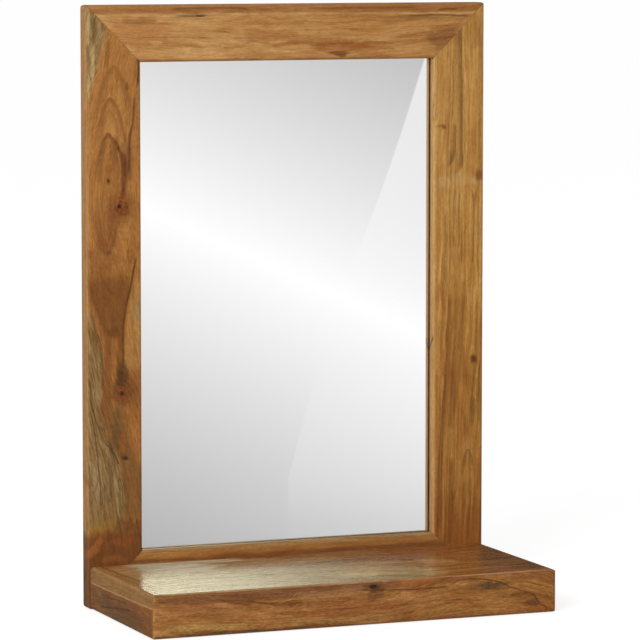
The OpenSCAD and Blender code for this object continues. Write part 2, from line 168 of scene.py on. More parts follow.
def add(tree, kind, *values, **settings):
    """A new node with the settings, its first inputs fed with the values."""
    node = tree.nodes.new("ShaderNode" + kind)
    for name, setting in settings.items():
        setattr(node, name, setting)
    for place, value in enumerate(values):
        feed(node.inputs[place], value)
    return node


def empty_tree(owner):
    """The node tree of a material or world, with nothing in it."""
    owner.use_nodes = True
    owner.node_tree.nodes.clear()
    return owner.node_tree


def smooth(value, start, end):
    """0 where the value is at start, 1 where it is at end, and a soft step between."""
    node = add(value.tree, "MapRange", value, start, end, interpolation_type="SMOOTHSTEP")
    return Field(value.tree, node.outputs[0])


def either(first, second):
    """The larger of two masks."""
    return first.math("MAXIMUM", second)


def distance(along, across):
    """How far away a place is that lies so far along and across."""
    return (along * along + across * across).math("SQRT")


def one_sided(gap, width, reach):
    """A line that is crisp where the gap turns positive, and fades out at reach times its width."""
    return smooth(gap, width * -0.5, width * 0.3) * smooth(gap, width * reach, width * 0.3)


def curve(value, points):
    """A smooth curve through points of (value, result), level beyond its ends."""
    first = points[0][0]
    last = points[-1][0]
    low = min(result for _, result in points)
    high = max(result for _, result in points)
    span = max(high - low, 0.001)
    tree = value.tree
    place = add(tree, "MapRange", value, first, last)
    node = add(tree, "FloatCurve")
    tree.links.new(place.outputs[0], node.inputs["Value"])
    dots = node.mapping.curves[0].points
    while len(dots) < len(points):
        dots.new(0.5, 0.5)
    for dot, (at, result) in zip(dots, points):
        dot.location = ((at - first) / (last - first), (result - low) / span)
    node.mapping.update()
    return Field(tree, node.outputs[0]).math("MULTIPLY_ADD", span, low)


def joined(u, v, w):
    """A point from its three coordinates."""
    return Field(u.tree, add(u.tree, "CombineXYZ", u, v, w).outputs[0])


def noise(point, lengths, seed, detail=2.0, roughness=0.5):
    """Soft noise from 0 to 1 whose features have the given lengths along the point's three axes."""
    shrink = [1 / length for length in lengths]
    start = (seed * 7.31, seed * 3.17, seed * 5.73)
    stretch = add(point.tree, "VectorMath", point, shrink, start, operation="MULTIPLY_ADD")
    node = add(point.tree, "TexNoise", Field(point.tree, stretch.outputs[0]))
    feed(node.inputs["Scale"], 1.0)
    feed(node.inputs["Detail"], detail)
    feed(node.inputs["Roughness"], roughness)
    return Field(point.tree, node.outputs[0])


def noise_of(value, length, seed):
    """Soft noise from 0 to 1 along one value."""
    node = add(value.tree, "TexNoise", noise_dimensions="1D")
    feed(node.inputs["W"], value.math("MULTIPLY_ADD", 1 / length, seed * 11.7))
    feed(node.inputs["Scale"], 1.0)
    feed(node.inputs["Detail"], 2.0)
    return Field(value.tree, node.outputs[0])


def blend(colour, mask, other, kind="MIX"):
    """The colour, changed to the other one where the mask is 1."""
    node = add(colour.tree, "Mix", mask, data_type="RGBA", blend_type=kind)
    feed(node.inputs[6], colour)
    feed(node.inputs[7], other)
    return Field(colour.tree, node.outputs[2])


def ramp(value, stops):
    """Colours at places from 0 to 1 along the value."""
    node = add(value.tree, "ValToRGB", value)
    elements = node.color_ramp.elements
    while len(elements) < len(stops):
        elements.new(0.5)
    for element, (at, colour) in zip(elements, stops):
        element.position = at
        element.color = colour
    return Field(value.tree, node.outputs[0])


def surface(shader, colour, rough, relief, depth, strength):
    """Gives a shader its colour, its roughness and a fine relief, whose depth is in metres."""
    bump = add(relief.tree, "Bump", strength, depth)
    feed(bump.inputs["Height"], relief)
    feed(shader.inputs["Base Color"], colour)
    feed(shader.inputs["Roughness"], rough)
    relief.tree.links.new(bump.outputs[0], shader.inputs["Normal"])


def new_material(name):
    """A material, its plain shader, and the place on the object in millimetres as three fields."""
    material = bpy.data.materials.new(name)
    tree = empty_tree(material)
    output = add(tree, "OutputMaterial")
    shader = add(tree, "BsdfPrincipled")
    tree.links.new(shader.outputs[0], output.inputs["Surface"])
    metres = Field(tree, add(tree, "TexCoord").outputs["Object"])
    scale = add(tree, "VectorMath", metres, operation="SCALE")
    feed(scale.inputs["Scale"], 1000.0)
    split = add(tree, "SeparateXYZ", Field(tree, scale.outputs[0]))
    return material, shader, {axis: Field(tree, split.outputs[axis]) for axis in "XYZ"}


def wear(name, material):
    """Puts a material on a CAD node."""
    slots = NODES[name].data.materials
    slots.clear()
    slots.append(material)


# -------------------- wood


class Board:
    """One board's wood. u runs along the grain, v across the shown face and w through it. Each mark goes
    over those before it, at places that wander a little: mark_u and mark_v."""

    def __init__(self, name, axes, seed):
        self.name = name
        self.material, self.shader, self.place = new_material(name + "_wood")
        self.seed = seed
        self.u, self.v, self.w = (self.place[axis] for axis in axes)
        self.point = joined(self.u, self.v, self.w)
        wander = noise(self.point, (38, 14, 14), seed + 0.3, 3.0) - 0.5
        self.mark_v = self.v + wander * MARK_WANDER_ACROSS
        self.mark_u = self.u + wander * MARK_WANDER_ALONG

    def shift_from_knots(self, knots):
        """How far the knots push the grain across the board."""
        shift = None
        for u, v, radius, stretch in knots:
            along = (self.mark_u - u) * (1 / (stretch * radius))
            across = (self.mark_v - v) * (1 / radius)
            far = along * along + across * across + 1.0
            push = (self.mark_v - v) / far
            shift = push if shift is None else shift + push
        return shift

    def grain(self, centre, depth, knots, line_gap, band_gap):
        """The bands and thin lines of the rings. Centre and depth say where the heart of the tree lies,
        across the face and behind it."""
        flow = self.v + (noise(self.point, (120, 34, 34), self.seed + 1.1) - 0.5) * RING_WANDER
        flow = flow + (noise(self.point, (34, 9, 9), self.seed + 1.9, 3.0) - 0.5) * RING_RIPPLE
        if knots:
            flow = flow - self.shift_from_knots(knots)
        sideways = flow - curve(self.u, centre)
        inwards = (self.w - FRAME_FRONT) + curve(self.u, depth)
        self.figure = joined(self.u, sideways, inwards)
        ring = distance(sideways, inwards)
        self.bands = noise_of(ring, band_gap, self.seed + 2.3)
        fine = noise_of(ring, line_gap, self.seed + 3.1)
        broken = smooth(noise(self.figure, (55, 7, 7), self.seed + 0.7), 0.32, 0.62)
        self.lines = smooth((fine - 0.5).size(), 0.034, 0.004) * broken

    def base(self, stops, bands=0.4, clouds=0.35, streaks=0.15, trend=None, cloud_size=(55, 15),
             streak_size=(30, 2.6), mottle=0.45):
        """Colour from a tone that rings, clouds and streaks move up and down."""
        long, wide = cloud_size
        cloud = noise(self.figure, (long, wide, wide), self.seed + 4.7, 3.0) - 0.5
        long, wide = streak_size
        self.streaks = noise(self.figure, (long, wide, wide), self.seed + 6.7, 3.0, 0.6) - 0.5
        self.fibres = noise(self.figure, FIBRE_SIZE, self.seed + 5.9, 3.0, 0.6) - 0.5
        self.grit = noise(self.figure, GRIT_SIZE, self.seed + 6.1, 2.0, 0.7) - 0.5
        self.swirl = noise(self.point, SWIRL_SIZE, self.seed + 7.3, 3.0) - 0.5
        tone = (self.bands - 0.5) * bands + 0.5
        tone = tone + cloud * clouds + self.streaks * streaks
        if trend:
            tone = tone + curve(self.u, trend)
        self.colour = ramp(tone, stops)
        warm = noise(self.figure, (50, 7, 7), self.seed + 8.9)
        self.tint(smooth(warm, 0.5, 0.75) * mottle, RED)
        self.tint(smooth(warm, 0.46, 0.2) * mottle * 0.6, OLIVE)

    def shade(self, lines, streaks, fibres, grit):
        """Fine light and dark laid over all the colours so far. The dark parts are redder."""
        tone = self.streaks * streaks + self.fibres * fibres + self.grit * grit - self.lines * lines
        tone = (tone + 1.0).math("MAXIMUM", 0.2)
        self.tint(1.0, joined(tone.math("POWER", 0.85), tone, tone.math("POWER", 1.3)), "MULTIPLY")

    def tint(self, mask, colour, kind="MIX"):
        """Another colour over those so far, where the mask is 1."""
        self.colour = blend(self.colour, mask, colour, kind)

    def stripe(self, points, width, strength, colour, fade=10.0, side=0):
        """A line through points of (u, v). It can fade out slowly on one side, 1 or -1."""
        start = points[0][0]
        end = points[-1][0]
        gap = self.mark_v - curve(self.mark_u, points)
        if side:
            mask = one_sided(gap * side, width, 3.5)
        else:
            mask = smooth(gap.size(), width, width * 0.1)
        mask = mask * smooth(self.mark_u, start - fade * 0.3, start + fade * 0.7)
        mask = mask * smooth(self.mark_u, end + fade * 0.3, end - fade * 0.7)
        mask = mask * (self.streaks * MARK_BREAKS + 0.9)
        self.tint(mask * strength, colour)

    def arch(self, u, v, length, half_width, width, strength, colour):
        """A ring bent to a rounded arch, crisp outside and soft inside, from its top at (u, v) to
        u + length."""
        along = (self.mark_u - u) * math.copysign(1.0, length)
        across = self.mark_v - v
        reach = abs(length) / half_width ** 2
        gap = (along - across * across * reach) / (across.size() * (2 * reach) + 1.0)
        mask = one_sided(gap, width, 4.0) * smooth(along, abs(length), abs(length) * 0.4)
        self.tint(mask * (self.streaks * MARK_BREAKS + 1.1) * strength, colour)

    def area(self, low, high, strength, colour, soft=2.0, ends=6.0):
        """A filled shape between two borders through points of (u, v), over the same stretch of u."""
        above = smooth(self.mark_v - curve(self.mark_u, low), -soft, soft)
        below = smooth(self.mark_v - curve(self.mark_u, high), soft, -soft)
        start = smooth(self.mark_u, low[0][0] - ends, low[0][0] + ends)
        end = smooth(self.mark_u, low[-1][0] + ends, low[-1][0] - ends)
        self.tint(above * below * start * end * strength, colour)

    def spot(self, u, v, half_u, half_v, strength, colour, lean=0.0):
        """A soft spot round (u, v). Lean is the rise of v along u."""
        along = self.mark_u - u
        across = self.mark_v - v - along * lean
        far = distance(along * (1 / half_u), across * (1 / half_v))
        far = far + self.swirl * 1.6 + self.streaks * 0.6
        self.tint(smooth(far, 1.15, 0.5) * strength, colour)

    def knot(self, u, v, radius, stretch, heart, halo, halo_strength=0.6):
        """A knot with rings of its own, in a darker halo that runs along the grain."""
        along = (self.mark_u - u) * (1 / (stretch * radius))
        across = (self.mark_v - v) * (1 / radius)
        uneven = noise(self.point, (5, 4, 4), u * 0.01 + 8.3, 3.0) - 0.5
        far = distance(along, across) + uneven * 1.3
        self.tint(smooth(far, 2.1, 0.9) * halo_strength * (self.streaks * 2.0 + 0.9), halo)
        rings = noise_of(far, 0.26, u * 0.013 + 4.1)
        body = ramp(rings, [(0.38, halo), (0.6, heart)])
        self.tint(smooth(far, 1.15, 0.6) * 0.8, body)

    def sap(self, border, softness, strength):
        """Greyer sapwood on the front, on the low side of a border given as points of (u, v)."""
        beyond = curve(self.mark_u, border) - self.mark_v + self.streaks * 6.0 + self.swirl * 6.0
        beyond = smooth(beyond, -softness, softness)
        beyond = beyond * smooth(self.w, FRAME_FRONT + 2.5, FRAME_FRONT + 0.8)
        flecks = noise(self.figure, (60, 2.8, 2.8), self.seed + 7.7, 4.0, 0.7)
        wood = ramp(flecks, [(0.3, rgb(92, 66, 36)), (0.42, OLIVE), (0.55, GREY_GREEN), (0.7, SAPWOOD)])
        self.tint(beyond * strength, wood)
        thin = noise(self.figure, (80, 6, 6), self.seed + 8.3) - 0.5
        self.tint(smooth(thin.size(), 0.045, 0.008) * beyond * strength * 0.5, rgb(84, 60, 32))

    def finish(self, roughness=0.36, hairlines=(), gloss=0.18, detail=(0.25, 0.7, 0.5, 0.8), waves=0.4):
        """Fine grain, if any, then pores, sheen and relief. Hairlines are dark where a field is zero."""
        if detail:
            self.shade(*detail)
        pores = smooth(noise(self.figure, PORE_SIZE, self.seed + 9.1, 1.0), 0.66, 0.78)
        self.tint(pores * 0.5, TAN, "MULTIPLY")
        for joint in hairlines:
            self.tint(smooth(joint.size(), 0.55, 0.1) * (self.swirl * 1.5 + 0.24), DARK)
        relief = self.fibres * 0.5 + self.grit + self.streaks * waves - pores
        rough = self.fibres * 0.12 + pores * 0.2 + self.streaks * waves * 0.15 + roughness
        surface(self.shader, self.colour, rough, relief, depth=0.0001, strength=0.5)
        feed(self.shader.inputs["Specular IOR Level"], gloss)
        wear(self.name, self.material)


def tones(*colours):
    """A wood's tones from dark to light, given in the steps of a picture."""
    return [(at, rgb(*colour)) for at, colour in zip((0.16, 0.32, 0.48, 0.62, 0.8), colours)]


HEARTWOOD = tones((92, 50, 16), (126, 76, 29), (157, 102, 47), (177, 121, 62), (198, 148, 86))
RED_HEARTWOOD = tones((82, 43, 15), (115, 67, 28), (143, 90, 42), (165, 111, 57), (188, 140, 84))
LIGHT_HEARTWOOD = tones((130, 77, 30), (157, 103, 48), (181, 127, 69), (195, 145, 85), (212, 170, 114))
GOLDEN_HEARTWOOD = tones((120, 70, 20), (150, 97, 36), (176, 122, 55), (193, 142, 72), (212, 166, 96))


def mitre_lines(board):
    """The distances to the glued mitres at the frame's top and at its foot."""
    beside = board.place["X"].size() - FRAME_SIDE
    z = board.place["Z"]
    top = (beside - (z - FRAME_TOP)) * DIAGONAL
    foot = (beside + (z - FRAME_FOOT)) * DIAGONAL
    return top, foot


def left_stile():
    """Two large knots, a dark tongue between them, arched rings, sapwood and a dark foot."""
    board = Board("left_stile", "ZXY", 1)
    knots = [(-143, -207, 12, 2), (-359, -209, 9, 2.2), (-434, -202, 5, 2.4), (-112, -224, 3, 2.5)]
    centre = [(-610, -160), (-500, -168), (-380, -190), (-250, -218), (-128, -225), (-20, -216),
              (90, -190)]
    depth = [(-610, 56), (-500, 52), (-400, 46), (-300, 39), (-218, 33), (-197, 28.4), (-128, 22),
             (-58, 28.4), (-18, 33), (20, 38), (90, 47)]
    board.grain(centre, depth, knots, 7, 8)
    board.base(HEARTWOOD, bands=0.22, clouds=0.22, mottle=0.3,
               trend=[(-600, -0.14), (-500, -0.04), (-380, -0.02), (-260, 0), (-150, 0.04), (90, 0.12)])
    # The paler outer side, painted light where it faces the lamp, and the tongue with what lies beside
    # it
    board.tint(smooth(board.place["X"], 1.2 - FRAME_SIDE, 0.4 - FRAME_SIDE) * 0.75, rgb(178, 134, 86))
    board.area([(-294, -230), (-265, -239), (-242, -247), (-222, -248)],
               [(-294, -208.5), (-263, -203.7), (-233, -199), (-222, -203)],
               0.8, rgb(121, 73, 31), 2, 10)
    board.spot(-288, -219, 7, 10, 0.6, rgb(102, 60, 26))
    board.area([(-400, -236), (-352, -233), (-294, -228)], [(-400, -222), (-352, -222), (-294, -221)],
               0.65, rgb(124, 72, 34))
    board.area([(-352, -216), (-294, -214)], [(-352, -209), (-294, -207)], 0.6, RUST)
    board.area([(-330, -208), (-294, -205), (-262, -201), (-228, -194)],
               [(-330, -186), (-294, -184), (-262, -184), (-228, -184)], 0.5, HONEY, 3)
    board.spot(-262, -189, 16, 5, 0.6, GREY_GREEN)
    board.spot(-120, -188, 70, 6, 0.5, ORANGE)
    board.spot(-98, -221, 5, 11, 0.4, RED)
    board.spot(-160, -222, 26, 9, 0.35, BROWN)
    board.spot(-202, -230, 26, 17, 0.45, rgb(122, 70, 32))
    board.spot(-92, -202, 30, 8, 0.6, rgb(106, 62, 38))
    # Sapwood below, then above
    board.area([(-505, -208), (-460, -209), (-430, -214), (-376, -232)],
               [(-505, -182), (-460, -182), (-430, -196), (-376, -206)], 0.7, rgb(120, 86, 44), 4, 12)
    board.sap([(-518, -266), (-510, -224), (-500, -206), (-460, -208), (-435, -214), (-411, -222),
               (-376, -234), (-353, -232), (-309, -234), (-277, -243), (-254, -252)], 2.4, 0.8)
    board.spot(60, -225, 12, 6, 0.6, rgb(156, 114, 54))
    board.spot(36, -225, 16, 5, 0.55, rgb(146, 90, 40))
    board.sap([(-40, -252), (-21, -248.5), (2, -243.5), (19, -238.5), (42, -231), (57, -228),
               (66, -227), (84, -230)], 3, 0.85)
    board.spot(66, -247, 24, 2.2, 0.7, rgb(180, 154, 108))
    board.spot(60, -234, 16, 3.2, 0.6, rgb(174, 144, 106))
    board.spot(62, -240.5, 20, 2.6, 0.75, rgb(104, 80, 44))
    board.spot(24, -242.5, 24, 3.2, 0.8, rgb(190, 164, 108))
    board.spot(-4, -247, 16, 1.8, 0.7, rgb(186, 158, 106))
    board.spot(34, -247.5, 14, 1.4, 0.6, rgb(110, 84, 46))
    board.spot(-458, -239, 30, 7, 0.5, rgb(176, 150, 110))
    board.spot(-446, -222, 36, 5, 0.5, rgb(92, 66, 38))
    # The foot
    board.area([(-620, -270), (-522, -270)], [(-620, -170), (-522, -170)], 0.78, rgb(103, 57, 26),
               2, 7)
    board.spot(-512, -230, 8, 30, 0.7, rgb(146, 112, 54))
    board.spot(-514, -206, 12, 17, 0.65, rgb(98, 62, 30))
    board.spot(-530, -200, 12, 10, 0.4, RED)
    board.spot(-522, -190, 16, 8, 0.6, UMBER)
    board.spot(-538, -242, 12, 6, 0.6, rgb(164, 98, 46), 0.5)
    board.spot(-552, -222, 5, 16, 0.5, rgb(152, 88, 40))
    board.spot(-534, -216, 5, 12, 0.5, rgb(144, 80, 36))
    # Painted shadow on the front face beside the shelf's left end
    board.area([(-620, -249.8), (-566, -249.8)], [(-620, -236), (-566, -236)], 0.85, rgb(92, 63, 35),
               1, 5)
    # Dark spots and lines along the tongue, the sapwood and the knots
    board.spot(-336, -207, 15, 8.5, 0.8, rgb(88, 62, 28))
    board.spot(-402, -216, 24, 8, 0.6, rgb(104, 72, 36))
    board.spot(-418, -207, 14, 3.5, 0.6, RED)
    board.spot(-470, -196, 34, 7, 0.45, BROWN)
    board.stripe([(-345, -210), (-330, -208), (-281, -206.2), (-263, -203.7), (-233, -197.4),
                  (-200, -190.5)], 2.2, 0.9, rgb(92, 52, 22))
    board.stripe([(-352, -232), (-309, -234), (-277, -243), (-260, -247)], 2.2, 0.6, rgb(92, 64, 32))
    board.stripe([(-444, -211), (-435, -216), (-421, -224), (-411, -231), (-393, -239), (-377, -245),
                  (-340, -248)], 1.8, 0.85, rgb(78, 52, 26))
    board.stripe([(-490, -234), (-458, -236.4), (-423, -240), (-400, -242.7), (-379, -249)], 1.5, 0.7,
                 rgb(86, 60, 32))
    board.stripe([(-136, -209), (-120, -205), (-108, -204), (-95, -204), (-85, -206), (-72, -212),
                  (-62, -217)], 5, 0.95, rgb(104, 54, 24))
    board.stripe([(-118, -209), (-98, -207), (-80, -212)], 2.6, 0.6, rgb(104, 56, 26))
    board.stripe([(-104, -199), (-60, -197), (-45, -194), (-15, -192)], 2.6, 0.75, rgb(92, 52, 24))
    board.stripe([(-6, -189), (18, -187.5), (34, -190)], 2.6, 0.85, DARK)
    board.spot(-10, -185.5, 34, 1.6, 0.6, GREY_GREEN)
    board.spot(-4, -201, 5, 2, 0.7, UMBER)
    # Arched rings, then the knots
    board.arch(-475, -244, 30, 9, 1.2, 0.4, UMBER)
    board.arch(-337, -200, -34, 15, 2.4, 0.6, rgb(124, 74, 34))
    board.arch(-198, -226, 60, 19, 2, 0.55, RING_BROWN)
    board.arch(-188, -227, 60, 14, 1.6, 0.5, RING_BROWN)
    board.arch(-176, -227, 60, 9, 1.4, 0.4, rgb(124, 76, 36))
    board.arch(-56, -224, -64, 18, 2, 0.6, rgb(116, 68, 32))
    board.arch(-66, -225, -60, 13, 1.6, 0.4, PALE_RING)
    board.arch(-16, -221, -62, 22, 2.2, 0.5, RING_BROWN)
    board.arch(-30, -222, -50, 15, 1.6, 0.35, PALE_RING)
    board.arch(20, -217, -74, 27, 2.6, 0.4, rgb(122, 74, 36))
    board.knot(-143, -207, 11, 1.1, RED, RUST, 0.5)
    board.spot(-142, -211, 2.8, 2.6, 0.95, BLACK)
    board.knot(-359, -208, 9.6, 1.1, RED, rgb(96, 54, 26), 0.7)
    board.spot(-359, -208, 4.2, 4, 0.85, rgb(72, 36, 16))
    board.spot(-359, -208, 2, 1.8, 0.9, BLACK)
    board.spot(-432, -207, 7, 7, 0.5, rgb(96, 60, 28))
    board.spot(-434, -205, 3.4, 4.6, 0.9, rgb(58, 34, 16))
    board.knot(-112, -224, 2.2, 1.3, UMBER, UMBER, 0.3)
    board.spot(-112, -224, 1.6, 1.3, 0.8, BLACK)
    board.finish(hairlines=mitre_lines(board))


def right_stile():
    """Golden, darker towards its foot, with long streaks and a small knot."""
    board = Board("right_stile", "ZXY", 2)
    knots = [(-337, 237, 5, 2.4), (-58, 192, 3, 1.6), (-116, 244, 6, 2)]
    centre = [(-610, 120), (-300, 130), (90, 138)]
    depth = [(-610, 20), (-447, 30), (-300, 24), (90, 26)]
    board.grain(centre, depth, knots, 5, 6)
    board.base(GOLDEN_HEARTWOOD, bands=0.3, clouds=0.3, streaks=0.3, streak_size=(70, 4.2), mottle=0.6,
               trend=[(-610, -0.25), (-520, -0.19), (-450, -0.06), (-400, -0.06), (-200, 0.09),
                      (90, 0.12)])
    board.spot(-550, 216, 40, 44, 0.4, RED)
    board.spot(-60, 205, 160, 20, 0.3, HONEY)
    board.spot(-122, 215, 9, 40, 0.35, PALE)
    board.spot(55, 222, 22, 40, 0.3, BROWN)
    # Painted highlight along the inner arris beside the mirror
    arris_highlight = smooth((board.v - (SIGHT_SIDE + 1)).size() + board.streaks * 3, 4, 0.3)
    board.tint(arris_highlight * 0.55, PALE)
    board.spot(-398, 237, 20, 4.5, 0.6, rgb(104, 78, 38))
    board.spot(-112, 233, 10, 9, 0.4, ORANGE)
    # Long streaks, then arched rings
    board.stripe([(-555, 197), (-500, 198), (-430, 199)], 1.8, 0.55, HONEY)
    board.stripe([(-540, 190), (-440, 192), (-400, 196), (-360, 199), (-260, 204)], 2.6, 0.7,
                 rgb(118, 68, 28), side=1)
    board.stripe([(-560, 203), (-500, 205), (-455, 207)], 2.6, 0.6, rgb(112, 64, 26), side=1)
    board.stripe([(-420, 204), (-340, 209), (-260, 214)], 2.6, 0.65, rgb(120, 70, 28), side=1)
    board.stripe([(-400, 214), (-330, 221), (-240, 226)], 2, 0.45, STREAK_BROWN, side=-1)
    board.stripe([(-520, 222), (-460, 225), (-400, 226)], 2.2, 0.4, STREAK_BROWN, side=1)
    board.spot(-445, 232, 16, 12, 0.35, HONEY)
    board.stripe([(-224, 233), (-176, 236.7), (-134, 233)], 2, 0.55, UMBER)
    board.stripe([(-205, 217), (-133, 218.7)], 2.2, 0.5, UMBER)
    board.stripe([(-110, 220), (-86, 222.4), (-26, 221.5), (33, 220.6), (62, 219)], 2.6, 0.75,
                 UMBER, side=-1)
    board.stripe([(-104, 205.5), (-97, 208.7), (-79, 212.6), (-55, 211.8)], 1.8, 0.75, UMBER, 8, -1)
    board.stripe([(-382, 244), (-360, 245), (-340, 245)], 1.8, 0.6, DARK)
    board.stripe([(-100, 244), (-20, 243), (62, 243)], 3, 0.45, OLIVE)
    board.stripe([(-330, 193), (-250, 198), (-160, 199)], 1.6, 0.45, UMBER)
    board.arch(-507, 211, 16, 4, 1.6, 0.6, UMBER)
    board.arch(-466, 228, -26, 5, 1.6, 0.6, ORANGE)
    board.arch(-446, 230, -34, 11, 1.6, 0.5, UMBER)
    board.arch(-100, 209, 18, 4.5, 1.4, 0.4, UMBER)
    # The reveal beside the mirror is darker behind, as painted shadow where it meets the glass, and a
    # dark slash slants across it
    reveal = smooth(board.place["X"], SIGHT_SIDE + 1.2, SIGHT_SIDE + 0.3)
    board.tint(reveal * smooth(board.w, -16, -12.6) * 0.45, rgb(120, 60, 16))
    slash = (board.u + 323 + (board.w + 12) * 1.5).size()
    board.tint(reveal * smooth(slash, 3.4, 0.6) * 0.9, rgb(58, 32, 14))
    board.knot(-337, 237, 3.2, 1.3, RED, DARK)
    board.spot(-337, 237, 3.2, 2.4, 0.8, DARK)
    board.spot(-58, 193, 3, 8, 0.45, UMBER)
    board.spot(-59, 197, 3.2, 3.4, 0.6, UMBER)
    board.knot(-116, 244, 4.6, 1.1, ORANGE, UMBER, 0.5)
    board.finish(hairlines=mitre_lines(board), detail=(0.3, 0.6, 0.45, 0.6))


def top_rail():
    """The lightest board, redder and darker to the right, with a darker outer rounding."""
    board = Board("top_rail", "XZY", 3)
    centre = [(-250, -30), (0, -38), (250, -24)]
    depth = [(-250, 26), (-120, 34), (30, 24), (250, 33)]
    board.grain(centre, depth, [], 8, 12)
    board.base(LIGHT_HEARTWOOD, bands=0.18, clouds=0.36, streaks=0.14, mottle=0.6, cloud_size=(64, 12),
               streak_size=(26, 2.2), trend=[(-250, 0.1), (-100, 0.11), (60, 0.03), (250, -0.03)])
    board.spot(-190, 58, 44, 22, 0.7, rgb(178, 118, 66))
    board.spot(-145, 44, 20, 8, 0.35, RED)
    board.spot(-30, 52, 40, 9, 0.4, RED)
    board.spot(-40, 31, 44, 6, 0.35, RED)
    board.spot(80, 38, 60, 9, 0.45, RED)
    board.spot(34, 45, 50, 7, 0.5, rgb(148, 90, 44))
    board.spot(200, 47, 28, 17, 0.6, rgb(128, 78, 38))
    board.spot(62, 31.5, 18, 2.8, 0.75, rgb(118, 62, 28))
    board.spot(64, 28, 6, 2.2, 0.7, rgb(98, 72, 36))
    board.spot(165, 73, 38, 3, 0.6, OLIVE)
    board.stripe([(140, 77.5), (190, 78), (236, 76)], 1.6, 0.6, PALE)
    board.stripe([(150, 74.5), (190, 75.5), (232, 73)], 1.6, 0.7, rgb(96, 66, 32))
    board.spot(-185, 71, 26, 4, 0.45, OLIVE)
    board.spot(-120, 76.8, 27, 2.4, 0.75, rgb(112, 84, 42))
    board.spot(-110, 76.4, 8, 1.7, 0.85, rgb(66, 44, 22))
    # The outer rounding, and the lines on it. The pale line along its whole length is a painted
    # highlight
    outer = smooth(board.v + board.swirl * 2, 78, 81.4)
    board.tint(outer * 0.65, rgb(146, 90, 44))
    board.stripe([(-240, 78), (0, 78), (240, 78)], 1.6, 0.3, PALE)
    board.stripe([(-150, 83), (-90, 85), (-50, 84)], 2.6, 0.6, RUST)
    board.stripe([(190, 82), (200, 82.3), (214, 82)], 1.8, 0.7, DARK, 6)
    board.stripe([(20, 84), (90, 85), (160, 84)], 1.8, 0.4, RUST)
    board.tint(smooth(board.v, 29, 24.5) * 0.4, BROWN)
    board.finish(hairlines=mitre_lines(board)[:1], detail=(0.2, 0.6, 0.4, 0.6))


def bottom_rail():
    """The shelf leaves only its upper edge in sight: greenish above, and dark below with painted shadow
    where the shelf meets it.
    """
    board = Board("bottom_rail", "XZY", 4)
    centre = [(-250, -640), (0, -630), (250, -645)]
    depth = [(-250, 24), (0, 30), (250, 22)]
    board.grain(centre, depth, [], 5, 6)
    board.base(HEARTWOOD, bands=0.3, clouds=0.3, trend=[(-250, 0.03), (250, 0.03)])
    board.tint(smooth(board.mark_v, -552, -546.5) * 0.65, rgb(162, 128, 80))
    # Painted shadow along the shelf's back edge
    board.tint(smooth(board.mark_v, -552.5, -557) * 0.7, rgb(106, 60, 28))
    board.finish(hairlines=mitre_lines(board)[1:])


